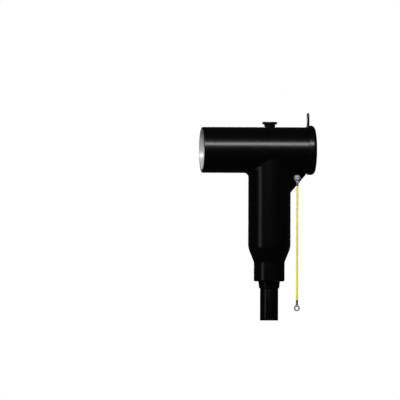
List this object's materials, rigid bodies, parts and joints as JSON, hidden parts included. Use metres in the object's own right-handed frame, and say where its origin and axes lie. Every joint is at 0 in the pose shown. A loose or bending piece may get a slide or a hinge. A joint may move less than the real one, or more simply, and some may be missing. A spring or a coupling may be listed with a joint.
{
  "type": "separable elbow connector",
  "caption": "Tee-shaped plug-on cable connector of screened rubber: tapered bushing socket, capped insulating plug, test point, cable adapter and earth lead.",
  "frame": {"origin": "where the axis of the bushing socket crosses the axis of the cable, at the centre of the contact eye", "axes": "-X out of the socket mouth, along the bushing axis; +X to the rear cap; -Z down the cable; -Y to the side that carries the earth lead"},
  "size_m": [0.1859, 0.081, 0.3398],
  "materials": {
    "screen_rubber": "satin moulded",
    "cap_rubber": "satin moulded",
    "adapter_rubber": "satin moulded",
    "insulating_rubber": "glossy",
    "epoxy": "cast, glossy",
    "brass": "turned",
    "tinned_metal": "tinned",
    "steel": "zinc plated",
    "conductor_metal": "drawn wire",
    "cable_polymer": "extruded",
    "semiconductor": "extruded",
    "copper": "drawn wire",
    "sheath_polymer": "extruded",
    "lead_insulation": "extruded"
  },
  "bodies": {
    "housing": {"outer_screen": "screen_rubber", "insulating_body": "insulating_rubber", "inner_screen": "screen_rubber", "test_electrode": "brass", "cable_lug": "tinned_metal", "shear_bolts": "brass", "contact_stud": "steel", "flat_washer": "steel", "spring_washer": "steel", "stud_nut": "steel", "rear_plug": "epoxy", "plug_insert": "brass", "plug_hex": "tinned_metal", "conductor": "conductor_metal", "cable_insulation": "cable_polymer", "core_screen": "semiconductor", "screen_wires": "copper", "cable_sheath": "sheath_polymer", "cable_adapter": "adapter_rubber", "earth_eyelet": "tinned_metal", "earth_screw": "steel", "earth_washer": "steel", "earth_nut": "steel", "upper_terminal": "tinned_metal", "earth_lead": "lead_insulation", "lower_terminal": "tinned_metal"},
    "rear_cap": {"rear_cap": "cap_rubber"},
    "test_cap": {"test_point_cap": "cap_rubber"}
  },
  "joints": [
    {"name": "rear_cap_pull", "type": "slide", "parent": "housing", "child": "rear_cap", "axis": [1, 0, 0], "range_m": [0, 0.04]},
    {"name": "test_cap_pull", "type": "slide", "parent": "housing", "child": "test_cap", "axis": [0, 0, 1], "range_m": [0, 0.025]}
  ]
}
